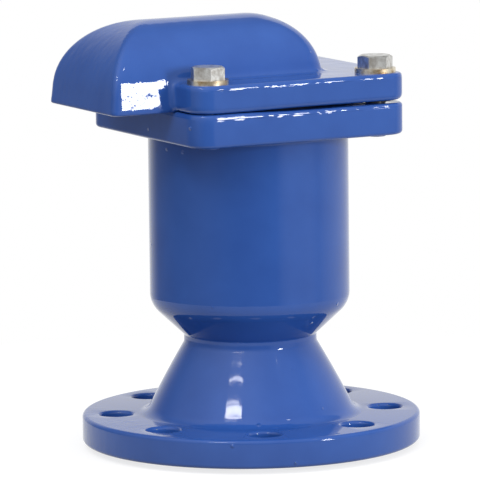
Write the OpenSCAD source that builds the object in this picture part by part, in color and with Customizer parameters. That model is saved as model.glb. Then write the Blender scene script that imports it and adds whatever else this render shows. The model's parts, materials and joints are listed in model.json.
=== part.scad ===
// Air release valve with a flanged inlet, a caged ball float and a hooded cover.
// The origin is the centre of the inlet's raised face, +Z is up and the hood overhangs towards -X.

/* [Inlet flange] */
// Bore of the inlet
inlet_bore_d = 80; // [72:1:88]
// Outside diameter of the inlet flange
flange_od = 200; // [190:1:220]
// Pitch circle of the flange holes
flange_pcd = 160; // [156:1:166]
// Diameter of the flange holes
flange_hole_d = 19; // [14:0.5:22]
// Number of flange holes
flange_hole_count = 8; // [4:4:8]
// Thickness of the flange rim
flange_rim_t = 17; // [12:0.5:24]
// Diameter of the raised face
raised_face_d = 132; // [110:1:138]
// Height of the raised face below the rim
raised_face_h = 3; // [1:0.5:4]
// Chamfer on the edges of the flange rim
rim_chamfer = 1.5; // [0.5:0.1:3]

/* [Foot and neck] */
// Outside diameter of the cone where it leaves the flange
cone_base_d = 124; // [110:1:130]
// Fillet between the flange and the cone
cone_fillet = 4; // [2:0.5:5]
// Height of the cone
cone_h = 42; // [30:1:60]
// Bore of the neck
neck_bore_d = 64; // [52:1:68]
// Wall of the neck
neck_wall = 7; // [5:0.5:9]
// Height of the straight neck
neck_h = 4; // [2:0.5:12]
// Lean of the shoulder from the vertical, in degrees
shoulder_lean = 50; // [40:1:60]
// Radius between the shoulder and the chamber wall
shoulder_round = 14; // [8:1:18]

/* [Chamber] */
// Wall of the float chamber
chamber_wall = 8; // [5:0.5:10]
// Height of the chamber between the shoulder and the top flange
chamber_h = 98; // [80:1:120]
// Width of the ledge that carries the float cage
ledge_w = 5; // [4:0.5:6]

/* [Top flange and cover] */
// Thickness of the body's square top flange
top_flange_t = 18.5; // [14:0.5:24]
// Open seam between the body and the cover
seam = 1.5; // [1:0.1:3]
// Thickness of the cover plate
cover_t = 16; // [14:0.5:22]
// Distance from a bolt's axis to the edges of the plates
bolt_edge = 15; // [14:0.5:20]
// Radius of the corners of the plates
plate_corner_r = 13; // [6:0.5:14]
// Radius of the plates' outer edges
plate_edge_r = 3; // [1:0.1:4]
// Diameter of the outlet orifice in the cover
orifice_d = 46; // [40:1:50]

/* [Hood] */
// Outside width of the hood at its foot
hood_w = 84.4; // [76:0.2:88]
// Lean of the hood's walls
hood_lean = 5.3; // [2:0.1:7]
// Radius of the hood's upright corners
hood_corner_r = 3; // [2:0.5:7]
// Wall of the hood
hood_wall = 6; // [4:0.5:8]
// Height of the hood above the cover plate
hood_rise = 33; // [29:0.5:36]
// Radius of the round at the top of the hood's overhang
end_r = 42; // [36:0.5:46]
// Length of the mouth between the cover plate and the hood's end wall
mouth_len = 33.3; // [26:0.1:40]
// Length of the sloping end of the hood
tail_run = 29; // [24:0.5:34]
// Depth at which the sloping end starts below the top of the cover plate
tail_drop = 6; // [3:0.5:8]
// Room between the orifice and the inside of the sloping end
tail_room = 0.5; // [0.5:0.5:6]

/* [Float and cage] */
// Diameter of the float ball
float_d = 85; // [80:0.5:88]
// Wall of the float ball
float_wall = 1.2; // [0.8:0.1:2]
// Width of the weld around the float
weld_w = 2; // [1.4:0.1:3]
// Height of the weld above the ball
weld_crown = 0.4; // [0.2:0.1:0.6]
// Side play of the float in its cage
float_play = 0.6; // [0.4:0.1:1.5]
// Room between the float and what it rests on or closes against
float_rest = 0.3; // [0.2:0.05:0.5]
// Diameter of the guide rods
rod_d = 6; // [5:0.5:8]
// Diameter of the riveted ends of the rods
rod_tenon_d = 4; // [3:0.5:4.5]
// Metal left outside the rods in the cage plates
cage_edge = 1.2; // [0.8:0.1:3]
// Thickness of the cage plates
cage_plate_t = 3; // [2:0.5:5]
// Diameter of the windows in the cage base
window_d = 22; // [14:0.5:24]
// Distance of the windows from the axis
window_r = 30; // [28:0.5:31]

/* [Seat] */
// Thickness of the rubber seat ring
seat_t = 5.5; // [4:0.1:8]
// Width by which the seat's bore is set back from the orifice
seat_lip = 4; // [2:0.5:5]
// Width by which the seat ring overlaps the body
seat_overlap = 3; // [2:0.5:4]
// Width of the brass retainer
retainer_w = 9; // [9:0.5:11]
// Thickness of the brass retainer
retainer_t = 4; // [3:0.5:5]

/* [Fasteners] */
// Diameter of the cover bolts
bolt_d = 12; // [10:1:14]
// Width of the bolt heads across the flats
bolt_af = 18; // [16:0.5:21]
// Height of the bolt heads
bolt_head_h = 7.5; // [6:0.5:10]
// Width of the flat rim taken off the top of the heads by their chamfer
bolt_crown = 0.5; // [0.2:0.1:1.5]
// Length of bolt that stands out below the top flange
bolt_tip = 1.5; // [1:0.5:6]
// Outside diameter of the washers
washer_od = 24; // [22:0.5:27]
// Thickness of the washers
washer_t = 2.5; // [1.5:0.1:3.5]
// Diameter of the small screws
screw_d = 4; // [3:0.5:4]
// Length of the retainer screws in the cover
screw_grip = 6.5; // [5:0.5:9]
// Thickness of the outlet screen
screen_t = 1.5; // [1:0.1:2.5]
// Diameter of the holes in the outlet screen
screen_hole_d = 4; // [3:0.1:4.6]
// Pitch of the holes in the outlet screen
screen_pitch = 6; // [5.5:0.1:8]

/* [Hidden] */
$fn = 96;
// Steps in a quarter turn of an outline
arc_steps = 10;
// Overshoot of cuts
over = 1;
// Radial clearances of fitted pieces
thread_fit = 0.05;
bolt_fit = 0.75;
screw_fit = 0.25;
cage_fit = 0.3;
seat_fit = 0.5;
screen_fit = 0.3;
retainer_gap = 1.5;
// Numbers of pieces in a ring
rod_count = 6;
window_count = 6;
retainer_screw_count = 6;

// Paint and metal colours
paint_blue = [0.15, 0.29, 0.62];
zinc_grey = [0.74, 0.75, 0.74];
zinc_yellow = [0.78, 0.70, 0.48];
steel_grey = [0.78, 0.79, 0.80];
brass_gold = [0.79, 0.64, 0.30];
rubber_black = [0.10, 0.10, 0.11];

// Radii from the float outwards
float_r = float_d / 2;
cage_in_r = float_r + weld_crown + float_play;
rod_circle_r = cage_in_r + rod_d / 2;
cage_out_r = rod_circle_r + rod_d / 2 + cage_edge;
bore_r = cage_out_r + cage_fit;
chamber_r = bore_r + chamber_wall;
ledge_r = bore_r - ledge_w;
seat_out_r = bore_r + seat_overlap;
seat_in_r = orifice_d / 2 + seat_lip;
retainer_out_r = cage_in_r - retainer_gap;
retainer_in_r = retainer_out_r - retainer_w;
retainer_screw_r = (retainer_out_r + retainer_in_r) / 2;

// Heights of the body from the inlet upwards
flange_top = raised_face_h + flange_rim_t;
cone_top = flange_top + cone_h;
neck_top = cone_top + neck_h;
neck_r = neck_bore_d / 2 + neck_wall;
round_r = chamber_r - shoulder_round * (1 - cos(shoulder_lean));
round_z = neck_top + (round_r - neck_r) / tan(shoulder_lean) + shoulder_round * sin(shoulder_lean);
ledge_z = round_z;
top_flange_z = round_z + chamber_h;
body_top = top_flange_z + top_flange_t;
cover_z = body_top + seam;
cover_top = cover_z + cover_t;
seat_z = cover_z - seat_t;
retainer_z = seat_z - retainer_t;

// Inner line of the shoulder, parallel to the outer one
inner_foot_r = neck_r - chamber_wall * cos(shoulder_lean);
inner_foot_z = neck_top + chamber_wall * sin(shoulder_lean);
throat_top = inner_foot_z + (neck_bore_d / 2 - inner_foot_r) / tan(shoulder_lean);
ledge_foot = inner_foot_z + (ledge_r - inner_foot_r) / tan(shoulder_lean);

// Cage and float heights
base_top = ledge_z + cage_plate_t;
ring_z = seat_z - cage_plate_t;
float_z = base_top + float_rest + float_r;

// Hood
hood_half = hood_w / 2;
hood_top = cover_top + hood_rise;
hood_h = hood_top - cover_z;
vault_r = (hood_half - hood_h * tan(hood_lean)) / (cos(hood_lean) + (sin(hood_lean) - 1) * tan(hood_lean));
vault_z = hood_top - vault_r;
end_z = hood_top - end_r;
tail_z = cover_top - tail_drop;

// Bolts and plates: the bolts clear both the chamber wall and the hood
bolt_wall_gap = 18.8;
bolt_hood_gap = 1.9;
hood_foot = hood_half - cover_t * tan(hood_lean);
bolt_offset = max((chamber_r + bolt_wall_gap) / sqrt(2), hood_foot + washer_od / 2 + bolt_hood_gap);
plate_half = bolt_offset + bolt_edge;
bolt_len = washer_t + cover_t + seam + top_flange_t + bolt_tip;
bolt_spots = [[-1, -1, 12], [1, -1, 40], [1, 1, 5], [-1, 1, 50]];
hood_left = -plate_half - mouth_len - hood_wall;
end_x = hood_left + (end_z + end_r * sin(hood_lean) - cover_z) * tan(hood_lean) + end_r * cos(hood_lean);
hood_right = orifice_d / 2 + tail_room + hood_wall;

// Outlet screen and its lugs inside the mouth
lug_w = 10;
lug_h = 9;
screen_recess = 2.5;
screen_head_h = 2.2;
screen_head_r = 3.5;
screen_z = cover_z + screen_recess;
screen_top = screen_z + screen_t;
mouth_left = end_x - wall_reach(end_r - hood_wall, end_z, screen_top);
mouth_half = wall_reach(vault_r - hood_wall, vault_z, screen_top);
mouth_mid = (mouth_left - plate_half) / 2;
lug_spots = [for (x = [mouth_left + lug_w / 2, -plate_half - lug_w / 2], y = [-1, 1])
    [x, y * (mouth_half - lug_w / 2)]];
screen_x_steps = floor((mouth_len - 2 * screen_hole_d) / screen_pitch / 2);
screen_y_steps = floor((2 * mouth_half - 2 * screen_hole_d) / screen_pitch / 2);

// Points of an elliptic arc
function arc(x, y, rx, ry, from, to) =
    [for (i = [0:arc_steps]) let (a = from + (to - from) * i / arc_steps) [x + rx * cos(a), y + ry * sin(a)]];

// Outline of a rectangle with round corners
function round_rectangle(half_x, half_y, r) = concat(
    arc(half_x - r, half_y - r, r, r, 0, 90),
    arc(r - half_x, half_y - r, r, r, 90, 180),
    arc(r - half_x, r - half_y, r, r, 180, 270),
    arc(half_x - r, r - half_y, r, r, 270, 360));

// Reach, at one height, of a leaning wall that runs into a round
function wall_reach(r, z, height) = r * cos(hood_lean) + (z + r * sin(hood_lean) - height) * tan(hood_lean);

// Cross-section of the hood's vault, down to its foot
function vault_outline(inset, foot) = concat(
    [[wall_reach(vault_r - inset, vault_z, foot), foot]],
    arc(0, vault_z, vault_r - inset, vault_r - inset, hood_lean, 180 - hood_lean),
    [[-wall_reach(vault_r - inset, vault_z, foot), foot]]);

// Side view of the hood: a leaning wall and a round at the overhang and a sloping end over the plate
function side_outline(inset, foot) = concat(
    [[hood_right - inset, foot]],
    arc(hood_right - tail_run, tail_z, tail_run - inset, hood_top - tail_z - inset, 0, 90),
    arc(end_x, end_z, end_r - inset, end_r - inset, 90, 180 - hood_lean),
    [[end_x - wall_reach(end_r - inset, end_z, foot), foot]]);

// Square plate with round corners and edges
module square_plate(z, t) {
    width = 2 * plate_half + 2 * over;
    translate([0, 0, z + t / 2])
        intersection() {
            linear_extrude(t + 2 * over, center = true)
                polygon(round_rectangle(plate_half, plate_half, plate_corner_r));
            intersection_for (turn = [0, 90])
                rotate([90, 0, turn])
                    linear_extrude(width, center = true)
                        polygon(round_rectangle(plate_half, t / 2, plate_edge_r));
        }
}

// Vaulted block, used for the outside of the hood and for its hollow
module hood_block(inset, foot) {
    intersection() {
        translate([hood_left - over, 0, 0])
            rotate([90, 0, 90])
                linear_extrude(hood_right - hood_left + 2 * over)
                    polygon(vault_outline(inset, foot));
        rotate([90, 0, 0])
            linear_extrude(hood_w + 2 * over, center = true)
                polygon(side_outline(inset, foot - over));
    }
}

// Hollow of the hood: it stops at the plate and runs out of the mouth below
module hood_hollow() {
    difference() {
        hood_block(hood_wall, cover_z - over);
        translate([-plate_half, -plate_half, cover_z - 3 * over])
            cube([2 * plate_half, 2 * plate_half, cover_t + 3 * over]);
    }
}

// Upright cylinders at the four bolts
module at_bolts() {
    for (spot = bolt_spots)
        translate([spot[0] * bolt_offset, spot[1] * bolt_offset, 0])
            children();
}

// Copies around the axis
module around(count, r, start = 0) {
    for (i = [0:count - 1])
        rotate(start + i * 360 / count)
            translate([r, 0, 0])
                children();
}

// Outside of the body as turned: flange, cone, neck, shoulder and chamber
module body_outside() {
    lean = atan2(cone_base_d / 2 - neck_r, cone_h);
    fillet_r = cone_base_d / 2 + cone_fillet;
    rotate_extrude()
        polygon(concat(
            [[0, 0], [raised_face_d / 2, 0], [raised_face_d / 2, raised_face_h]],
            [[flange_od / 2 - rim_chamfer, raised_face_h], [flange_od / 2, raised_face_h + rim_chamfer]],
            [[flange_od / 2, flange_top - rim_chamfer], [flange_od / 2 - rim_chamfer, flange_top]],
            arc(fillet_r, flange_top + cone_fillet, cone_fillet, cone_fillet, 270, 180 + lean),
            [[neck_r, cone_top], [neck_r, neck_top]],
            arc(chamber_r - shoulder_round, round_z, shoulder_round, shoulder_round, -shoulder_lean, 0),
            [[chamber_r, body_top - over], [0, body_top - over]]));
}

// Inside of the body: inlet, throat, ledge, chamber and the recess of the seat ring
module body_inside() {
    rotate_extrude()
        polygon([
            [0, -over],
            [inlet_bore_d / 2, -over],
            [inlet_bore_d / 2, flange_top],
            [neck_bore_d / 2, cone_top],
            [neck_bore_d / 2, throat_top],
            [ledge_r, ledge_foot],
            [ledge_r, ledge_z],
            [bore_r, ledge_z],
            [bore_r, seat_z],
            [seat_out_r + seat_fit, seat_z],
            [seat_out_r + seat_fit, body_top + over],
            [0, body_top + over]]);
}

// Cast body
module valve_body() {
    color(paint_blue)
        difference() {
            union() {
                body_outside();
                square_plate(top_flange_z, top_flange_t);
            }
            body_inside();
            around(flange_hole_count, flange_pcd / 2, 180 / flange_hole_count)
                cylinder(d = flange_hole_d, h = flange_top + over);
            at_bolts()
                translate([0, 0, top_flange_z - over])
                    cylinder(d = bolt_d, h = top_flange_t + 2 * over);
        }
}

// Cast cover plate with the hood over its orifice
module hood_cover() {
    color(paint_blue)
        difference() {
            union() {
                difference() {
                    union() {
                        square_plate(cover_z, cover_t);
                        intersection() {
                            hood_block(0, cover_z);
                            translate([(hood_left + hood_right) / 2, 0, 0])
                                linear_extrude(hood_top + over)
                                    polygon(round_rectangle((hood_right - hood_left) / 2, hood_half, hood_corner_r));
                        }
                    }
                    hood_hollow();
                }
                screen_lugs();
            }
            translate([0, 0, cover_z - over])
                cylinder(d = orifice_d, h = cover_t + 2 * over);
            at_bolts()
                translate([0, 0, cover_z - over])
                    cylinder(d = bolt_d + 2 * bolt_fit, h = cover_t + 2 * over);
            around(retainer_screw_count, retainer_screw_r)
                translate([0, 0, cover_z - over])
                    cylinder(d = screw_d, h = screw_grip + 2 * over);
            for (spot = lug_spots)
                translate([spot[0], spot[1], screen_top - over])
                    cylinder(d = screw_d, h = lug_h);
        }
}

// Lugs in the corners of the mouth, let into the walls beside them
module screen_lugs() {
    for (spot = lug_spots) {
        side = sign(spot[0] - mouth_mid);
        translate([spot[0] + side * over / 2, spot[1] + sign(spot[1]) * over / 2, screen_top + lug_h / 2])
            cube([lug_w + over, lug_w + over, lug_h], center = true);
    }
}

// Rubber ring between the body and the cover, the seat of the float
module seat_ring() {
    color(rubber_black)
        translate([0, 0, seat_z])
            difference() {
                cylinder(r = seat_out_r, h = seat_t);
                translate([0, 0, -over])
                    cylinder(r = seat_in_r, h = seat_t + 2 * over);
                around(retainer_screw_count, retainer_screw_r)
                    translate([0, 0, -over])
                        cylinder(d = screw_d + 2 * screw_fit, h = seat_t + 2 * over);
            }
}

// Brass ring that holds the seat ring against the cover
module seat_retainer() {
    color(brass_gold)
        translate([0, 0, retainer_z])
            difference() {
                cylinder(r = retainer_out_r, h = retainer_t);
                translate([0, 0, -over])
                    cylinder(r = retainer_in_r, h = retainer_t + 2 * over);
                around(retainer_screw_count, retainer_screw_r) {
                    translate([0, 0, -over])
                        cylinder(d = screw_d + 2 * screw_fit, h = retainer_t + 2 * over);
                    translate([0, 0, -over])
                        cylinder(r1 = screw_d + screw_fit + over, r2 = 0, h = screw_d + screw_fit + over);
                }
            }
}

// Countersunk screws of the retainer, with a cross slot each
module retainer_screws() {
    head_r = screw_d - screw_fit;
    length = retainer_t + seat_t + screw_grip;
    slot_w = screw_d / 4;
    color(steel_grey)
        around(retainer_screw_count, retainer_screw_r)
            translate([0, 0, retainer_z])
                difference() {
                    union() {
                        cylinder(r1 = head_r, r2 = screw_d / 2 - thread_fit, h = head_r - screw_d / 2);
                        cylinder(r = screw_d / 2 - thread_fit, h = length);
                    }
                    for (turn = [0, 90])
                        rotate(turn)
                            cube([screw_d, slot_w, slot_w * 2], center = true);
                }
}

// Bottom plate of the float cage, closed in the middle against the stream
module cage_base() {
    color(steel_grey)
        translate([0, 0, ledge_z])
            difference() {
                cylinder(r = cage_out_r, h = cage_plate_t);
                around(window_count, window_r)
                    translate([0, 0, -over])
                        cylinder(d = window_d, h = cage_plate_t + 2 * over);
                rod_holes();
            }
}

// Top ring of the float cage, held down by the seat ring
module cage_ring() {
    color(steel_grey)
        translate([0, 0, ring_z])
            difference() {
                cylinder(r = cage_out_r, h = cage_plate_t);
                translate([0, 0, -over])
                    cylinder(r = cage_in_r, h = cage_plate_t + 2 * over);
                rod_holes();
            }
}

// Holes for the riveted ends of the rods
module rod_holes() {
    around(rod_count, rod_circle_r, 180 / rod_count)
        translate([0, 0, -over])
            cylinder(d = rod_tenon_d + 2 * thread_fit, h = cage_plate_t + 2 * over);
}

// One rod of the float cage, riveted flush in both plates
module guide_rod(i) {
    color(steel_grey)
        rotate(180 / rod_count + (i - 1) * 360 / rod_count)
            translate([rod_circle_r, 0, 0]) {
                translate([0, 0, ledge_z])
                    cylinder(d = rod_tenon_d, h = seat_z - ledge_z);
                translate([0, 0, base_top])
                    cylinder(d = rod_d, h = ring_z - base_top);
            }
}

// Half of the hollow float, above its weld
module float_half() {
    difference() {
        sphere(r = float_r);
        sphere(r = float_r - float_wall);
        translate([-float_d, -float_d, weld_w / 2 - 2 * float_d])
            cube(2 * float_d);
    }
}

// Upper half of the float
module float_upper_shell() {
    color(steel_grey)
        translate([0, 0, float_z])
            float_half();
}

// Lower half of the float
module float_lower_shell() {
    color(steel_grey)
        translate([0, 0, float_z])
            mirror([0, 0, 1])
                float_half();
}

// Weld bead between the two halves
module float_weld() {
    color(steel_grey)
        translate([0, 0, float_z])
            rotate_extrude()
                polygon(concat(
                    [[float_r - float_wall, weld_w / 2], [float_r - float_wall, -weld_w / 2]],
                    arc(float_r, 0, weld_crown, weld_w / 2, -90, 90)));
}

// Hexagon bolts of the cover, screwed into the top flange
module cover_bolts() {
    head_z = cover_top + washer_t;
    corner_r = bolt_af / sqrt(3);
    crown_r = bolt_af / 2 - bolt_crown;
    color(zinc_grey)
        for (spot = bolt_spots)
            translate([spot[0] * bolt_offset, spot[1] * bolt_offset, 0]) {
                translate([0, 0, head_z])
                    intersection() {
                        rotate(spot[2])
                            cylinder(r = corner_r, h = bolt_head_h, $fn = 6);
                        cylinder(r1 = crown_r + bolt_head_h / tan(30), r2 = crown_r, h = bolt_head_h);
                    }
                translate([0, 0, head_z - bolt_len])
                    cylinder(r = bolt_d / 2 - thread_fit, h = bolt_len + over);
            }
}

// Washers under the bolt heads
module cover_washers() {
    color(zinc_yellow)
        at_bolts()
            translate([0, 0, cover_top])
                difference() {
                    cylinder(d = washer_od, h = washer_t);
                    translate([0, 0, -over])
                        cylinder(d = bolt_d + 2 * screw_fit, h = washer_t + 2 * over);
                }
}

// Perforated plate in the hood's mouth
module outlet_screen() {
    color(steel_grey)
        translate([0, 0, screen_z])
            linear_extrude(screen_t)
                difference() {
                    translate([mouth_mid, 0])
                        square([mouth_len - 2 * screen_fit, 2 * (mouth_half - screen_fit)], center = true);
                    for (spot = lug_spots)
                        translate(spot)
                            circle(d = screw_d + 2 * screw_fit);
                    for (i = [-screen_x_steps:screen_x_steps], j = [-screen_y_steps:screen_y_steps])
                        if (!near_lug(i, j))
                            translate([mouth_mid + i * screen_pitch, j * screen_pitch])
                                circle(d = screen_hole_d);
                }
}

// True where a hole of the screen would meet a lug
function near_lug(i, j) =
    mouth_len / 2 - abs(i * screen_pitch) < lug_w + screen_hole_d / 2
    && mouth_half - abs(j * screen_pitch) < lug_w + screen_hole_d / 2;

// Slotted screws that hold the screen to the lugs
module screen_screws() {
    slot_w = screw_d / 4;
    color(steel_grey)
        for (spot = lug_spots)
            translate([spot[0], spot[1], screen_z - screen_head_h])
                difference() {
                    union() {
                        cylinder(r = screen_head_r, h = screen_head_h);
                        cylinder(r = screw_d / 2 - thread_fit, h = screen_head_h + screen_t + lug_h - 2 * over);
                    }
                    cube([2 * screen_head_r + over, slot_w, slot_w * 2], center = true);
                }
}

valve_body();
hood_cover();
seat_ring();
seat_retainer();
retainer_screws();
cage_base();
cage_ring();
for (i = [1:rod_count]) {
    guide_rod(i);
}
float_upper_shell();
float_lower_shell();
float_weld();
cover_bolts();
cover_washers();
outlet_screen();
screen_screws();
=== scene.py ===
import json
import math

import bmesh
import bpy
from mathutils import Matrix, Quaternion, Vector


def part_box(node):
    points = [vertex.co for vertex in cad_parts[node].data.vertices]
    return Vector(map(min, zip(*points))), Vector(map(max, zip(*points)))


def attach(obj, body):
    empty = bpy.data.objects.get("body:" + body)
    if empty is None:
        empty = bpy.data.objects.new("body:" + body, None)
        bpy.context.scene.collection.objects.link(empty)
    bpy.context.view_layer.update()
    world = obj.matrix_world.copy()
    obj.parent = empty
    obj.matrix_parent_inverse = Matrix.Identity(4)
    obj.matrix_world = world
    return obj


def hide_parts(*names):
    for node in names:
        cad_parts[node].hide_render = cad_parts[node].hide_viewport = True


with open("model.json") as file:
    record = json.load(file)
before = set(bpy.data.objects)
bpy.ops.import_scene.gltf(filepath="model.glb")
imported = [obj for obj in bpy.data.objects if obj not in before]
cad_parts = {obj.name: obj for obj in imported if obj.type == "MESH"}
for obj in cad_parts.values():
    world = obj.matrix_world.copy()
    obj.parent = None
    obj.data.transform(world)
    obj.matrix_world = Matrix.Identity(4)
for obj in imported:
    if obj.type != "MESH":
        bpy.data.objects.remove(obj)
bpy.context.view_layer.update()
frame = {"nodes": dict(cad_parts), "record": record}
scene = bpy.context.scene
mm = 0.001
mergeGap = 1e-6  # metres
slack = 0.01  # millimetres, for picking points by their place
print("frame loaded:", len(frame["nodes"]), "nodes")


# small helpers, with outlines and places in millimetres

def arcPoints(cx, cy, radius, start, end, steps):
    turns = [math.radians(start + (end - start) * i / steps) for i in range(steps + 1)]
    return [(cx + radius * math.cos(t), cy + radius * math.sin(t)) for t in turns]


def roundOutline(corners, steps):  # corners are x, y and a rounding radius, 0 for a sharp one
    outline = []
    count = len(corners)
    for i, (x, y, radius) in enumerate(corners):
        if radius == 0:
            outline.append((x, y))
            continue
        here = Vector((x, y))
        back = (Vector(corners[i - 1][:2]) - here).normalized()
        ahead = (Vector(corners[(i + 1) % count][:2]) - here).normalized()
        half = back.angle(ahead) / 2
        middle = here + (back + ahead).normalized() * radius / math.sin(half)
        first = here + back * radius / math.tan(half) - middle
        last = here + ahead * radius / math.tan(half) - middle
        start = math.atan2(first.y, first.x)
        sweep = (math.atan2(last.y, last.x) - start + math.pi) % (2 * math.pi) - math.pi
        turns = math.degrees(start), math.degrees(start + sweep)
        outline += arcPoints(middle.x, middle.y, radius, *turns, steps)
    return outline


def spinSolid(outline, steps, place=(0, 0)):  # turns an outline of radius and height into a closed solid
    bm = bmesh.new()
    ring = [bm.verts.new((r * mm, 0, z * mm)) for r, z in outline]
    edges = [bm.edges.new(pair) for pair in zip(ring, ring[1:] + ring[:1])]
    bmesh.ops.spin(bm, geom=ring + edges, cent=(0, 0, 0), axis=(0, 0, 1),
                   angle=2 * math.pi, steps=steps, use_merge=True)
    bmesh.ops.remove_doubles(bm, verts=bm.verts, dist=mergeGap)
    bmesh.ops.recalc_face_normals(bm, faces=bm.faces)
    bmesh.ops.translate(bm, verts=bm.verts, vec=(place[0] * mm, place[1] * mm, 0))
    return bm


def pushSolid(outline, low, high):  # extrudes a flat outline upwards
    bm = bmesh.new()
    face = bm.faces.new([bm.verts.new((x * mm, y * mm, low * mm)) for x, y in outline])
    lifted = bmesh.ops.extrude_face_region(bm, geom=[face])["geom"]
    top = [v for v in lifted if isinstance(v, bmesh.types.BMVert)]
    bmesh.ops.translate(bm, verts=top, vec=(0, 0, (high - low) * mm))
    bmesh.ops.recalc_face_normals(bm, faces=bm.faces)
    return bm


def makePiece(name, bm, material=None):
    mesh = bpy.data.meshes.new(name)
    bm.to_mesh(mesh)
    bm.free()
    piece = bpy.data.objects.new(name, mesh)
    scene.collection.objects.link(piece)
    if material:
        mesh.materials.append(material)
    return piece


def boxTool(low, high):
    bm = bmesh.new()
    bmesh.ops.create_cube(bm, size=1)
    size = [(b - a) * mm for a, b in zip(low, high)]
    middle = [(a + b) / 2 * mm for a, b in zip(low, high)]
    bmesh.ops.scale(bm, verts=bm.verts, vec=size)
    bmesh.ops.translate(bm, verts=bm.verts, vec=middle)
    return makePiece("boxTool", bm)


holeCut = {"over": 3.0, "lip": 0.03, "arcSteps": 6, "turnSteps": 48}


def holeTool(radius, low, high, rim, place):  # a cutter that leaves a rounded rim at both ends
    over, lip, steps = holeCut["over"], holeCut["lip"], holeCut["arcSteps"]
    outline = [(0, low - over), (radius + rim, low - over)]
    outline += arcPoints(radius + rim, low + rim - lip, rim, 270, 180, steps)
    outline += arcPoints(radius + rim, high - rim + lip, rim, 180, 90, steps)
    outline += [(radius + rim, high + over), (0, high + over)]
    return makePiece("holeTool", spinSolid(outline, holeCut["turnSteps"], place))


def settle(piece):  # bakes a piece's modifiers into its mesh
    bpy.context.view_layer.update()
    finished = piece.evaluated_get(bpy.context.evaluated_depsgraph_get())
    mesh = bpy.data.meshes.new_from_object(finished)
    old = piece.data
    piece.modifiers.clear()
    piece.data = mesh
    bpy.data.meshes.remove(old)


def combine(piece, tool, operation):  # boolean with a tool that is then thrown away
    step = piece.modifiers.new(operation, "BOOLEAN")
    step.operation = operation
    step.solver = "EXACT"
    step.object = tool
    settle(piece)
    bpy.data.meshes.remove(tool.data)


def soften(piece, rounds, chosen):  # smooths the chosen points
    bm = bmesh.new()
    bm.from_mesh(piece.data)
    verts = [v for v in bm.verts if chosen(v.co / mm)]
    for _ in range(rounds):
        bmesh.ops.smooth_vert(bm, verts=verts, factor=0.5, use_axis_x=True, use_axis_y=True, use_axis_z=True)
    bm.to_mesh(piece.data)
    bm.free()


def shadeByAngle(piece, degrees):
    piece.data.polygons.foreach_set("use_smooth", [True] * len(piece.data.polygons))
    piece.data.set_sharp_from_angle(angle=math.radians(degrees))


# helpers that wire up shader nodes

def startMaterial(name):
    material = bpy.data.materials.new(name)
    material.use_nodes = True
    nodes = material.node_tree.nodes
    return material, nodes, material.node_tree.links, nodes["Principled BSDF"]


def addNode(nodes, kind, **settings):
    node = nodes.new(kind)
    for key, value in settings.items():
        if hasattr(node, key) and key not in node.inputs:
            setattr(node, key, value)
        else:
            node.inputs[key].default_value = value
    return node


def addMath(nodes, links, operation, one, other):  # each value is a socket or a plain number
    step = addNode(nodes, "ShaderNodeMath", operation=operation)
    for socket, value in zip(step.inputs, (one, other)):
        if isinstance(value, (int, float)):
            socket.default_value = value
        else:
            links.new(value, socket)
    return step.outputs[0]


def addNoise(nodes, links, scale, detail=3.0, rough=0.5, stretch=(1, 1, 1)):
    place = nodes.new("ShaderNodeTexCoord")
    size = addNode(nodes, "ShaderNodeMapping", Scale=stretch)
    noise = addNode(nodes, "ShaderNodeTexNoise", Scale=scale, Detail=detail, Roughness=rough)
    links.new(place.outputs["Object"], size.inputs["Vector"])
    links.new(size.outputs["Vector"], noise.inputs["Vector"])
    return noise.outputs["Fac"]


def addAxis(nodes, links, axis, source="Object"):
    place = nodes.new("ShaderNodeTexCoord")
    axes = nodes.new("ShaderNodeSeparateXYZ")
    links.new(place.outputs[source], axes.inputs["Vector"])
    return axes.outputs[axis]


def addRamp(nodes, links, source, places, colours):  # from one colour to another
    ramp = nodes.new("ShaderNodeValToRGB")
    for element, place, colour in zip(ramp.color_ramp.elements, places, colours):
        element.position = place
        element.color = (*colour, 1)
    links.new(source, ramp.inputs["Fac"])
    return ramp.outputs["Color"]


def addRange(nodes, links, source, low, high):
    span = nodes.new("ShaderNodeMapRange")
    span.inputs["To Min"].default_value = low
    span.inputs["To Max"].default_value = high
    links.new(source, span.inputs["Value"])
    return span.outputs["Result"]


def addFade(nodes, links, source, start, end, low=0.0, high=1.0):  # runs smoothly from low to high
    fade = addNode(nodes, "ShaderNodeMapRange", interpolation_type="SMOOTHSTEP")
    for key, value in (("From Min", start), ("From Max", end), ("To Min", low), ("To Max", high)):
        fade.inputs[key].default_value = value
    links.new(source, fade.inputs["Value"])
    return fade.outputs["Result"]


def addBump(nodes, links, source, height, below=None):
    bump = addNode(nodes, "ShaderNodeBump", Strength=1.0, Distance=height)
    links.new(source, bump.inputs["Height"])
    if below:
        links.new(below, bump.inputs["Normal"])
    return bump.outputs["Normal"]


# thick blue paint, with sizes and places in metres

bluePaintLook = {
    "deep": (0.020, 0.073, 0.302), "fair": (0.027, 0.092, 0.356),
    "cloudScale": 26.0, "cloudSpan": (0.3, 0.7),
    "glossScale": 130.0, "glossLow": 0.030, "glossHigh": 0.060, "ior": 1.40,
    "swellScale": 80.0, "swellHeight": 0.00018, "swellLow": 0.180, "swellFull": 0.188, "swellShare": 0.03,
    "runScale": 210.0, "runStretch": (1, 1, 0.6), "runHeight": 0.00015, "runFrom": -0.066, "runTo": -0.078,
    "edgeScale": 90.0, "edgeStretch": (1, 0.4, 0.4), "edgeHeight": 0.0009, "edgeFrom": -0.0700,
    "edgeBands": ((0.2028, 0.2052), (0.2203, 0.2227)), "edgeSoft": 0.0008,
    "pimpleScale": 47.5, "pimpleReach": 0.075, "pimpleMiss": 0.10, "pimpleHeight": 0.0006,
    "peelScale": 480.0, "peelHeight": 0.000004,
}


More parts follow.
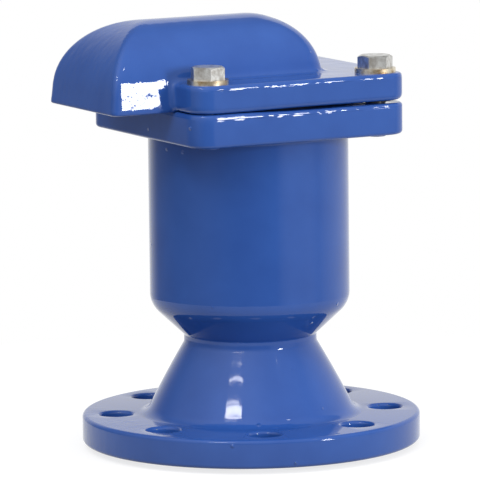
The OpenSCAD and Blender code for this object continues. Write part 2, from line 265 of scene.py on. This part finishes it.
def addPimples(nodes, links, look):  # round blisters, one in most cells of a cell texture
    place = nodes.new("ShaderNodeTexCoord")
    cells = addNode(nodes, "ShaderNodeTexVoronoi", Scale=look["pimpleScale"])
    links.new(place.outputs["Object"], cells.inputs["Vector"])
    dome = addFade(nodes, links, cells.outputs["Distance"], 0.0, look["pimpleReach"], 1.0, 0.0)
    chance = nodes.new("ShaderNodeSeparateColor")
    links.new(cells.outputs["Color"], chance.inputs["Color"])
    most = addMath(nodes, links, "GREATER_THAN", chance.outputs["Red"], look["pimpleMiss"])
    return addMath(nodes, links, "MULTIPLY", dome, most)


def addEdgeBead(nodes, links, look, low, high):  # the paint has gathered along a plate's upper edge
    soft, start = look["edgeSoft"], look["edgeFrom"]
    height = addAxis(nodes, links, "Z")
    above = addFade(nodes, links, height, low, low + soft)
    below = addFade(nodes, links, height, high, high - soft)
    inside = addFade(nodes, links, addAxis(nodes, links, "X"), start, start + soft)
    noise = addNoise(nodes, links, look["edgeScale"], detail=1.0, stretch=look["edgeStretch"])
    ripple = addMath(nodes, links, "MULTIPLY", addRange(nodes, links, noise, -0.5, 0.5), inside)
    return addMath(nodes, links, "MULTIPLY", ripple, addMath(nodes, links, "MULTIPLY", above, below))


def paintMaterial(look):
    material, nodes, links, shader = startMaterial("bluePaint")
    clouds = addNoise(nodes, links, look["cloudScale"], detail=4.0)
    tint = addRamp(nodes, links, clouds, look["cloudSpan"], (look["deep"], look["fair"]))
    links.new(tint, shader.inputs["Base Color"])
    sheen = addNoise(nodes, links, look["glossScale"])
    links.new(addRange(nodes, links, sheen, look["glossLow"], look["glossHigh"]), shader.inputs["Roughness"])
    shader.inputs["IOR"].default_value = look["ior"]
    height = addAxis(nodes, links, "Z")
    upper = addFade(nodes, links, height, look["swellLow"], look["swellFull"], look["swellShare"])
    swells = addNoise(nodes, links, look["swellScale"], detail=1.0)
    swells = addMath(nodes, links, "MULTIPLY", swells, upper)
    relief = addBump(nodes, links, swells, look["swellHeight"])
    overhang = addFade(nodes, links, addAxis(nodes, links, "X"), look["runFrom"], look["runTo"])
    runs = addNoise(nodes, links, look["runScale"], detail=2.0, stretch=look["runStretch"])
    runs = addMath(nodes, links, "MULTIPLY", runs, overhang)
    relief = addBump(nodes, links, runs, look["runHeight"], relief)
    for low, high in look["edgeBands"]:
        bead = addEdgeBead(nodes, links, look, low, high)
        relief = addBump(nodes, links, bead, look["edgeHeight"], relief)
    relief = addBump(nodes, links, addPimples(nodes, links, look), look["pimpleHeight"], relief)
    peel = addNoise(nodes, links, look["peelScale"], detail=2.0)
    links.new(addBump(nodes, links, peel, look["peelHeight"], relief), shader.inputs["Normal"])
    return material


# bare metals and rubber

metalFinish = {
    "patchSpan": (0.35, 0.62), "grainScale": 700.0, "grainHeight": 0.00004,
    "roughLess": 0.08, "roughMore": 0.12,
}
zincLook = {
    "light": (0.72, 0.73, 0.72), "dull": (0.42, 0.40, 0.37), "patchScale": 260.0,
    # the shank colour is painted shade, so the seam between the plates reads dark
    "rough": 0.32, "grain": (1, 1, 0.25), "shankShade": (0.03, 0.028, 0.026), "paintedTip": 0.002,
}
washerLook = {
    "light": (0.72, 0.66, 0.52), "dull": (0.34, 0.22, 0.10), "patchScale": 170.0,
    "rough": 0.30, "grain": (1, 1, 1),
}
steelLook = {
    "light": (0.70, 0.71, 0.72), "dull": (0.50, 0.51, 0.52), "patchScale": 90.0,
    "rough": 0.26, "grain": (1, 1, 0.1),
}
brassLook = {
    "light": (0.78, 0.60, 0.28), "dull": (0.52, 0.36, 0.14), "patchScale": 110.0,
    "rough": 0.25, "grain": (1, 1, 0.2),
}
rubberLook = {
    "dark": (0.012, 0.012, 0.013), "worn": (0.04, 0.04, 0.042),
    "speckScale": 320.0, "speckSpan": (0.3, 0.75), "speckHeight": 0.00008,
    "roughLow": 0.55, "roughHigh": 0.85,
}


def metalMaterial(name, look):
    material, nodes, links, shader = startMaterial(name)
    patches = addNoise(nodes, links, look["patchScale"], detail=4.0, rough=0.6)
    tint = addRamp(nodes, links, patches, metalFinish["patchSpan"], (look["dull"], look["light"]))
    links.new(tint, shader.inputs["Base Color"])
    shader.inputs["Metallic"].default_value = 1.0
    grain = addNoise(nodes, links, metalFinish["grainScale"], rough=0.6, stretch=look["grain"])
    low, high = look["rough"] - metalFinish["roughLess"], look["rough"] + metalFinish["roughMore"]
    links.new(addRange(nodes, links, grain, low, high), shader.inputs["Roughness"])
    links.new(addBump(nodes, links, grain, metalFinish["grainHeight"]), shader.inputs["Normal"])
    return material


def boltMaterial(name, look):  # blue-painted tips, shanks made near-black as painted shade in the seam between the plates, zinc heads
    material = metalMaterial(name, look)
    nodes, links = material.node_tree.nodes, material.node_tree.links
    shader = nodes["Principled BSDF"]
    tint = shader.inputs["Base Color"].links[0].from_socket
    height = addAxis(nodes, links, "Z")
    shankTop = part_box("cover_washers")[0].z
    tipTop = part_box("cover_bolts")[0].z + look["paintedTip"]
    # below the washers the shanks get the painted-shade colour, and below the flange the tips get the blue
    # paint
    for top, colour in ((shankTop, look["shankShade"]), (tipTop, bluePaintLook["fair"])):
        mix = addNode(nodes, "ShaderNodeMix", data_type="RGBA")
        links.new(addMath(nodes, links, "LESS_THAN", height, top), mix.inputs[0])
        links.new(tint, mix.inputs[6])  # sockets 6 and 7 are the two colours
        mix.inputs[7].default_value = (*colour, 1)
        tint = mix.outputs[2]  # the mixed colour
    links.new(tint, shader.inputs["Base Color"])
    links.new(addMath(nodes, links, "GREATER_THAN", height, shankTop), shader.inputs["Metallic"])
    return material


def rubberMaterial(look):
    material, nodes, links, shader = startMaterial("seatRubber")
    specks = addNoise(nodes, links, look["speckScale"], detail=5.0, rough=0.7)
    tint = addRamp(nodes, links, specks, look["speckSpan"], (look["dark"], look["worn"]))
    links.new(tint, shader.inputs["Base Color"])
    rough = addRange(nodes, links, specks, look["roughLow"], look["roughHigh"])
    links.new(rough, shader.inputs["Roughness"])
    links.new(addBump(nodes, links, specks, look["speckHeight"]), shader.inputs["Normal"])
    return material


bluePaint = paintMaterial(bluePaintLook)
slotMaterials = {
    "blue_paint": bluePaint,
    "zinc_bolt": boltMaterial("zincBolt", zincLook),
    "zinc_washer": metalMaterial("zincWasher", washerLook),
    "stainless": metalMaterial("stainless", steelLook),
    "seat_brass": metalMaterial("seatBrass", brassLook),
    "seat_rubber": rubberMaterial(rubberLook),
}
for part in frame["record"]["subparts"]:
    node = frame["nodes"][part["node"]]
    node.data.materials.clear()
    node.data.materials.append(slotMaterials[part["material_slot"]])
print("materials made:", len(slotMaterials))


# heights and reaches that the cast pieces take from the frame, in millimetres

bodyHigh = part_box("valve_body")[1] / mm
coverLow, coverHigh = [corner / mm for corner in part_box("hood_cover")]
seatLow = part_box("seat_ring")[0].z / mm
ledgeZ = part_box("cage_base")[0].z / mm
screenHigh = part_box("outlet_screen")[1] / mm
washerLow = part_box("cover_washers")[0] / mm
washerR = 12.0
boltAt = -washerLow.x - washerR
boltPlaces = [(x, y) for x in (-boltAt, boltAt) for y in (-boltAt, boltAt)]
plateHalf = coverHigh.x


def squareReach(turn, half, corner):  # distance from the axis to the edge of a square with round corners
    c, s = abs(math.cos(turn)), abs(math.sin(turn))
    flat = half / max(c, s)
    if min(c, s) * flat <= half - corner:
        return flat
    along = (half - corner) * (c + s)
    return along + math.sqrt(along * along - 2 * (half - corner) ** 2 + corner * corner)


# the seam between the two plates closes towards the hood's overhang

seamClosing = {
    "from": 0.0, "to": -45.0, "lift": 0.85, "drop": 0.50,
    "band": 10.0, "bandLimit": 1.1, "bandGain": 2.0, "depth": 4.0, "depthLimit": 1.2,
}


def seamShare(x):  # 0 where the seam is open, 1 where it is closed
    share = min(max((seamClosing["from"] - x) / (seamClosing["from"] - seamClosing["to"]), 0), 1)
    return share * share * (3 - 2 * share)


def seamDrop(p, low):  # how far the cover's lower rim comes down
    rim = 1 - (plateHalf - max(abs(p.x), abs(p.y))) / seamClosing["band"]
    lower = 1 - (p.z - low) / seamClosing["depth"]
    if 0 < rim < seamClosing["bandLimit"] and 0 < lower < seamClosing["depthLimit"]:
        return seamClosing["drop"] * seamShare(p.x) * min(rim * seamClosing["bandGain"], 1) * min(lower, 1)
    return 0


# cast body: turned as one section, then its top flange is pulled square and the bolt holes are cut

bodyCast = {
    "faceR": 66.0, "faceH": 3.0, "faceRound": 0.8, "rimTop": 20.0, "rimRound": 2.4,
    "boreR": 40.0, "boreRound": 1.0, "boreFillet": 4.0, "throatR": 32.0, "throatRound": 6.0,
    "coneR": 62.0, "coneTop": 62.0, "coneFillet": 8.0, "barrel": 0.75, "barrelR": 600.0,
    "neckR": 39.3, "neckTop": 66.9, "neckRound": 4.0, "waistRound": 1.6,
    "shoulderLean": 47.0, "shoulderRound": 15.0, "chamberR": 59.0, "chamberBoreR": 51.0, "wall": 8.0,
    "ledgeR": 46.0, "ledgeRound": 0.6, "ledgeFillet": 1.0, "bowlRound": 3.0,
    "recessR": 54.5, "recessRound": 0.5, "seatRound": 0.4,
    "plateT": 18.5, "plateCorner": 13.0, "plateUnderRound": 2.2, "plateTopRound": 2.0, "plateFillet": 3.0,
    "plateSpare": 20.0, "turnSteps": 320, "arcSteps": 8, "sharpAngle": 40.0,
    "holeCircleR": 80.0, "holeR": 9.5, "holeRim": 2.0, "holeCount": 8, "boltHoleR": 6.2, "boltHoleRim": 0.6,
}


def bodySection(cast, plateR):  # radius, height and rounding, up the outside and down the inside
    top, rimR = bodyHigh.z, bodyHigh.y
    plateLow = top - cast["plateT"]
    lean = math.radians(cast["shoulderLean"])
    shoulderZ = cast["neckTop"] + (cast["chamberR"] - cast["neckR"]) / math.tan(lean)
    innerFootR = cast["neckR"] - cast["wall"] * math.cos(lean)
    innerFootZ = cast["neckTop"] + cast["wall"] * math.sin(lean)
    bowlZ = innerFootZ + (cast["ledgeR"] - innerFootR) / math.tan(lean)
    throatZ = innerFootZ + (cast["throatR"] - innerFootR) / math.tan(lean)
    bulgeZ = (cast["rimTop"] + cast["coneTop"]) / 2
    bulgeR = (cast["coneR"] + cast["neckR"]) / 2 + cast["barrel"]
    return [
        (cast["boreR"], 0, cast["boreRound"]),
        (cast["faceR"], 0, cast["faceRound"]), (cast["faceR"], cast["faceH"], cast["faceRound"]),
        (rimR, cast["faceH"], cast["rimRound"]), (rimR, cast["rimTop"], cast["rimRound"]),
        (cast["coneR"], cast["rimTop"], cast["coneFillet"]), (bulgeR, bulgeZ, cast["barrelR"]),
        (cast["neckR"], cast["coneTop"], cast["neckRound"]),
        (cast["neckR"], cast["neckTop"], cast["waistRound"]),
        (cast["chamberR"], shoulderZ, cast["shoulderRound"]),
        (cast["chamberR"], plateLow, cast["plateFillet"]),
        (plateR, plateLow, cast["plateUnderRound"]), (plateR, top, cast["plateTopRound"]),
        (cast["recessR"], top, cast["recessRound"]), (cast["recessR"], seatLow, 0),
        (cast["chamberBoreR"], seatLow, cast["seatRound"]),
        (cast["chamberBoreR"], ledgeZ, cast["ledgeFillet"]),
        (cast["ledgeR"], ledgeZ, cast["ledgeRound"]), (cast["ledgeR"], bowlZ, cast["bowlRound"]),
        (cast["throatR"], throatZ, cast["throatRound"]),
        (cast["throatR"], cast["coneTop"], cast["throatRound"]),
        (cast["boreR"], cast["rimTop"], cast["boreFillet"]),
    ]


def castBody(cast):
    top = bodyHigh.z
    plateLow = top - cast["plateT"]
    plateR = plateHalf + cast["plateSpare"]  # the plate is turned round at first
    bm = spinSolid(roundOutline(bodySection(cast, plateR), cast["arcSteps"]), cast["turnSteps"])
    for vert in bm.verts:
        reach = vert.co.xy.length / mm
        inset = plateR - reach
        if inset < cast["plateUnderRound"] + slack and vert.co.z > (plateLow - slack) * mm:
            turn = math.atan2(vert.co.y, vert.co.x)
            square = squareReach(turn, plateHalf - inset, cast["plateCorner"] - inset)
            vert.co.xy *= square / reach
            if vert.co.z > (top - cast["plateTopRound"] / 2) * mm:
                vert.co.z += seamClosing["lift"] * seamShare(vert.co.x / mm) * mm
    body = makePiece("valveBody", bm, bluePaint)
    for i in range(cast["holeCount"]):
        turn = 2 * math.pi * (i + 0.5) / cast["holeCount"]
        place = (cast["holeCircleR"] * math.cos(turn), cast["holeCircleR"] * math.sin(turn))
        hole = holeTool(cast["holeR"], cast["faceH"], cast["rimTop"], cast["holeRim"], place)
        combine(body, hole, "DIFFERENCE")
    for place in boltPlaces:
        combine(body, holeTool(cast["boltHoleR"], plateLow, top, cast["boltHoleRim"], place), "DIFFERENCE")
    shadeByAngle(body, cast["sharpAngle"])
    return body


valveBody = castBody(bodyCast)
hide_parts("valve_body")
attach(valveBody, "casing")
print("body cast:", len(valveBody.data.polygons), "faces")


# cover with its hood: solid blocks are joined, then remeshed and smoothed as thick paint over a casting

coverCast = {
    "plateT": 16.0, "plateCorner": 13.0, "cornerSteps": 12,
    "topRound": 1.9, "underRound": 3.0, "roundSteps": 5,
    "hoodHalf": 42.2, "lean": 5.3, "endR": 42.0, "wall": 6.0, "skirt": 1.2, "skirtGap": 0.5,
    "tailX": 33.2, "tailRun": 36.5, "tailPower": 2.45, "tailDrop": 6.0,
    "corner": 3.2, "tailCorner": 13.0, "leastCorner": 1.5, "cornerShare": 0.98, "arcSteps": 8,
    "bendH": 14.0, "lowLayers": 6, "highLayers": 36, "peakGap": 0.004,
    "beyond": 90.0, "skirtCut": 9.0, "hollowDrop": 8.0, "keepDrop": 20.0,
    "orificeR": 23.0, "orificeRim": 1.5, "boltHoleR": 6.75, "boltHoleRim": 0.6,
    "lug": 10.0, "lugH": 9.0, "lugSink": 1.0, "voxel": 1.0, "softenAll": 3, "footRounds": 20,
    "footBand": 6.0, "footDepth": 1.0, "footInside": 2.0, "edgeBand": 2.6, "edgeInside": 1.0,
    "sharpAngle": 60.0,
}


def hoodSection(cast, inset, z):  # left end, right end and half-width of the hood at one height
    lean = math.radians(cast["lean"])
    top, foot = coverHigh.z, coverLow.z
    z = max(z, foot)
    vaultR = cast["hoodHalf"] - (top - foot) * math.tan(lean)
    vaultR /= math.cos(lean) + (math.sin(lean) - 1) * math.tan(lean)

    def reach(radius, middle, height):  # a leaning wall with a round vault above it
        if height > middle + radius * math.sin(lean):
            return math.sqrt(max(radius * radius - (height - middle) ** 2, 0))
        return radius * math.cos(lean) + (middle + radius * math.sin(lean) - height) * math.tan(lean)

    endX = coverLow.x + reach(cast["endR"], top - cast["endR"], foot)
    left = endX - reach(cast["endR"] - inset, top - cast["endR"], z)
    tailZ = foot + cast["plateT"] - cast["tailDrop"]
    rise = min(max((z - tailZ) / (top - tailZ - inset), 0), 1)
    power = cast["tailPower"]
    right = cast["tailX"] - cast["tailRun"] + (cast["tailRun"] - inset) * (1 - rise ** power) ** (1 / power)
    return left, right, reach(vaultR - inset, top - vaultR, z)


def hoodBlock(cast, inset, foot):  # a stack of rectangles with round corners, rounder at the tail
    peak = coverHigh.z - inset
    bend = coverLow.z + cast["bendH"]
    span = peak - coverLow.z - cast["bendH"]
    low, high = cast["lowLayers"], cast["highLayers"]
    heights = [foot + (bend - foot) * i / low for i in range(low)]
    heights += [bend + span * math.sin(math.radians(90 * i / high)) for i in range(high)]
    bm = bmesh.new()
    below = None
    for z in heights + [peak - cast["peakGap"]]:
        left, right, half = hoodSection(cast, inset, z)
        least, most = cast["leastCorner"], half * cast["cornerShare"]
        r, tailR = [min(max(cast[key] - inset, least), most) for key in ("corner", "tailCorner")]
        plan = [(left, -half, r), (right, -half, tailR), (right, half, tailR), (left, half, r)]
        ring = [bm.verts.new((x * mm, y * mm, z * mm)) for x, y in roundOutline(plan, cast["arcSteps"])]
        edges = [bm.edges.new(pair) for pair in zip(ring, ring[1:] + ring[:1])]
        if below:
            bmesh.ops.bridge_loops(bm, edges=below + edges)
        else:
            bm.faces.new(ring)
        below = edges
    bm.faces.new(ring)
    bmesh.ops.recalc_face_normals(bm, faces=bm.faces)
    return makePiece("hoodBlock", bm)


def coverPlate(cast, low, top):
    signs = ((-1, -1), (1, -1), (1, 1), (-1, 1))
    corners = [(x * plateHalf, y * plateHalf, cast["plateCorner"]) for x, y in signs]
    bm = pushSolid(roundOutline(corners, cast["cornerSteps"]), low, top)
    for height, radius in ((low, cast["underRound"]), (top, cast["topRound"])):
        rims = [e for e in bm.edges if all(abs(v.co.z - height * mm) < slack * mm for v in e.verts)]
        bmesh.ops.bevel(bm, geom=rims, offset=radius * mm, segments=cast["roundSteps"], profile=0.5,
                        affect="EDGES", material=-1)
    return makePiece("hoodCover", bm, bluePaint)


def addLugs(cover, cast):  # blocks in the mouth for the screen's screws
    mouthLeft, _, inner = hoodSection(cast, cast["wall"], screenHigh.z)
    lug, sink = cast["lug"], cast["lugSink"]
    for x in (mouthLeft - sink, -plateHalf - lug):
        for y in (-inner - sink, inner - lug):
            far = (x + lug + sink, y + lug + sink, screenHigh.z + cast["lugH"])
            combine(cover, boxTool((x, y, screenHigh.z), far), "UNION")


def nearFoot(cast, top, p):  # along the hood's foot, and where the plate's edge runs into the hood
    _, right, half = hoodSection(cast, 0, p.z)
    side, tail = half - abs(p.y), right - p.x
    band, edge = cast["footBand"], cast["edgeBand"]
    onPlate = top - cast["footDepth"] < p.z < top + band and p.x > -plateHalf - edge
    atFoot = max(-side, -tail) < band and min(side, tail) < cast["footInside"]
    atEdge = abs(p.x + plateHalf) < edge and -edge < side < cast["edgeInside"] and p.z < top + edge
    return (onPlate and atFoot) or atEdge


def castCover(cast):
    low, top = coverLow.z, coverLow.z + cast["plateT"]
    beyond = cast["beyond"]
    cover = coverPlate(cast, low, top)
    hood = hoodBlock(cast, 0, low - cast["skirt"])
    under = boxTool((-plateHalf - cast["skirtGap"], -beyond, low - cast["skirtCut"]), (beyond, beyond, low))
    combine(hood, under, "DIFFERENCE")  # the skirt hangs down only at the overhang
    combine(cover, hood, "UNION")
    hollow = hoodBlock(cast, cast["wall"], low - cast["hollowDrop"])
    keep = boxTool((-plateHalf, -beyond, low - cast["keepDrop"]), (beyond, beyond, top))
    combine(hollow, keep, "DIFFERENCE")  # the plate stays whole
    combine(cover, hollow, "DIFFERENCE")
    combine(cover, holeTool(cast["orificeR"], low, top, cast["orificeRim"], (0, 0)), "DIFFERENCE")
    for place in boltPlaces:
        combine(cover, holeTool(cast["boltHoleR"], low, top, cast["boltHoleRim"], place), "DIFFERENCE")
    addLugs(cover, cast)
    remesh = cover.modifiers.new("remesh", "REMESH")
    remesh.mode = "VOXEL"
    remesh.voxel_size = cast["voxel"] * mm
    settle(cover)
    soften(cover, cast["softenAll"], lambda p: True)
    soften(cover, cast["footRounds"], lambda p: nearFoot(cast, top, p))
    for vert in cover.data.vertices:
        vert.co.z -= seamDrop(vert.co / mm, low) * mm
    shadeByAngle(cover, cast["sharpAngle"])
    return cover


hoodCover = castCover(coverCast)
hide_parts("hood_cover")
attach(hoodCover, "casing")
print("cover cast:", len(hoodCover.data.polygons), "faces")


# stage: floor, world, lamps and camera, in metres and degrees

def aimVector(turn, rise):
    turn, rise = math.radians(turn), math.radians(rise)
    return Vector((math.cos(turn) * math.cos(rise), math.sin(turn) * math.cos(rise), math.sin(rise)))


def addRays(nodes, links):  # 1 for rays from the camera, and 1 for rays that a piece mirrors or lets through
    rays = nodes.new("ShaderNodeLightPath").outputs
    mirrored = addMath(nodes, links, "MAXIMUM", rays["Is Glossy Ray"], rays["Is Transmission Ray"])
    return rays["Is Camera Ray"], mirrored


floorLook = {
    "radius": 0.40, "segments": 96, "drop": 0.0002, "glow": 0.77,
    "grey": (0.30, 0.30, 0.30), "dimmer": 0.97, "grainScale": 3.0, "grainSpan": (0.3, 0.7),
}


def floorMaterial(look):  # matte, with a glow that only the camera and mirrored rays see
    material, nodes, links, shader = startMaterial("paleFloor")
    nodes.remove(shader)
    camera, mirrored = addRays(nodes, links)
    seen = addMath(nodes, links, "MAXIMUM", camera, mirrored)
    shine = nodes.new("ShaderNodeEmission")
    links.new(addRange(nodes, links, seen, 0.0, look["glow"]), shine.inputs["Strength"])
    matte = nodes.new("ShaderNodeBsdfDiffuse")
    grain = addNoise(nodes, links, look["grainScale"])
    dim = tuple(value * look["dimmer"] for value in look["grey"])
    links.new(addRamp(nodes, links, grain, look["grainSpan"], (dim, look["grey"])), matte.inputs["Color"])
    both = nodes.new("ShaderNodeAddShader")
    links.new(shine.outputs[0], both.inputs[0])
    links.new(matte.outputs[0], both.inputs[1])
    links.new(both.outputs[0], nodes["Material Output"].inputs["Surface"])
    return material


def setFloor(look):
    bm = bmesh.new()
    bmesh.ops.create_circle(bm, cap_ends=True, segments=look["segments"], radius=look["radius"])
    floor = makePiece("floor", bm, floorMaterial(look))
    floor.location.z = -look["drop"]


worldLook = {
    "fill": 0.33,
    "lobes": {  # turn from +X, height angle, cosines where the glow starts and is full, strength
        "key": (-95.0, 60.0, 0.30, 1.05, 0.76),
        "left": (-170.0, 40.0, 0.45, 1.05, 0.80),
        "front": (-58.0, -6.0, 0.86, 0.98, 0.60),
    },
    "sweep": (35.0, 0.0, 0.16, 0.86, 1.0), "sweepHigh": 0.58, "sweepLow": 0.50, "sweepGain": 0.52,
}


def addLobe(nodes, links, turn, rise, start, end, strength):  # a soft glow from one side of the room
    place = nodes.new("ShaderNodeTexCoord")
    towards = addNode(nodes, "ShaderNodeVectorMath", operation="DOT_PRODUCT")
    towards.inputs[1].default_value = aimVector(turn, rise)
    links.new(place.outputs["Generated"], towards.inputs[0])
    return addFade(nodes, links, towards.outputs["Value"], start, end, 0.0, strength)


def setWorld(look):  # dim room with three glows, and a white sweep behind the part
    world = bpy.data.worlds.new("studio")
    world.use_nodes = True
    nodes, links = world.node_tree.nodes, world.node_tree.links
    sky = nodes["Background"]
    sky.inputs["Color"].default_value = (1, 1, 1, 1)
    light = look["fill"]
    for lobe in look["lobes"].values():
        light = addMath(nodes, links, "ADD", light, addLobe(nodes, links, *lobe))
    height = addAxis(nodes, links, "Z", "Generated")
    under = addFade(nodes, links, height, look["sweepHigh"], look["sweepLow"])  # no sweep above these
    sweep = addMath(nodes, links, "MULTIPLY", addLobe(nodes, links, *look["sweep"]), under)
    light = addMath(nodes, links, "ADD", light, addRange(nodes, links, sweep, 0.0, look["sweepGain"]))
    camera, mirrored = addRays(nodes, links)
    shown = addMath(nodes, links, "MULTIPLY", mirrored, sweep)  # paint and bolts mirror the sweep too
    level = addNode(nodes, "ShaderNodeMix")
    links.new(addMath(nodes, links, "MAXIMUM", camera, shown), level.inputs["Factor"])
    links.new(light, level.inputs["A"])
    level.inputs["B"].default_value = 1.0
    links.new(level.outputs["Result"], sky.inputs["Strength"])
    scene.world = world


lampSet = {  # aim point, turn from +X, height angle, roll, distance, width, height, watts
    "lowWindow": ((-0.085, -0.041, 0.210), -62.6, 10.2, 0.0, 2.0, 0.27, 0.58, 18.5),
    "leftBox": ((-0.0355, -0.045, 0.0287), -142.5, 43.2, 7.4, 2.0, 0.58, 0.050, 2.6),
    "leftLine": ((-0.035, -0.043, 0.0325), -145.1, 44.0, 8.6, 2.0, 0.48, 0.010, 0.42),
    "leftBar": ((-0.0296, -0.0374, 0.0468), -143.4, 47.1, 8.2, 2.0, 0.57, 0.013, 0.64),
    "leftPane": ((-0.0257, -0.0317, 0.0590), -146.0, 49.3, 7.0, 2.0, 0.41, 0.035, 1.26),
    "rightPane": ((-0.0045, -0.040, 0.0600), -65.5, 45.9, -10.0, 2.0, 0.12, 0.050, 0.55),
}


def setLamp(name, aim, turn, rise, roll, distance, width, height, watts):
    lamp = bpy.data.lights.new(name, "AREA")
    lamp.shape = "RECTANGLE"
    lamp.size, lamp.size_y = width, height
    lamp.energy = watts
    holder = bpy.data.objects.new(name, lamp)
    scene.collection.objects.link(holder)
    away = aimVector(turn, rise)
    holder.location = Vector(aim) + away * distance
    facing = away.to_track_quat("Z", "Y") @ Quaternion((0, 0, 1), math.radians(roll))
    holder.rotation_euler = facing.to_euler()


cameraView = {
    "turn": 28.077, "distance": 2.9959, "height": 0.5590, "pitch": 8.303, "yaw": 0.104, "roll": -0.657,
    "focalPixels": 5132.3, "imagePixels": 480.0, "sensor": 36.0, "clipEnd": 60.0,
}


def setCamera(view):
    turn = math.radians(-view["turn"])
    face = turn + math.radians(view["yaw"])
    pitch, roll = math.radians(view["pitch"]), math.radians(view["roll"])
    place = Vector((view["distance"] * math.sin(turn), -view["distance"] * math.cos(turn), view["height"]))
    ahead = Vector((-math.sin(face) * math.cos(pitch), math.cos(face) * math.cos(pitch), -math.sin(pitch)))
    right = Vector((math.cos(face), math.sin(face), 0))
    up = right.cross(ahead)
    right, up = (right * math.cos(roll) + up * math.sin(roll), up * math.cos(roll) - right * math.sin(roll))
    lens = bpy.data.cameras.new("photoCamera")
    lens.sensor_width = view["sensor"]
    lens.lens = view["focalPixels"] / view["imagePixels"] * view["sensor"]
    lens.clip_end = view["clipEnd"]
    camera = bpy.data.objects.new("photoCamera", lens)
    camera.matrix_world = Matrix((right, up, -ahead)).transposed().to_4x4()
    camera.location = place
    scene.collection.objects.link(camera)
    scene.camera = camera


setFloor(floorLook)
setWorld(worldLook)
for lampName, lampRow in lampSet.items():
    setLamp(lampName, *lampRow)
setCamera(cameraView)
scene.view_settings.view_transform = "Standard"
print("stage set")
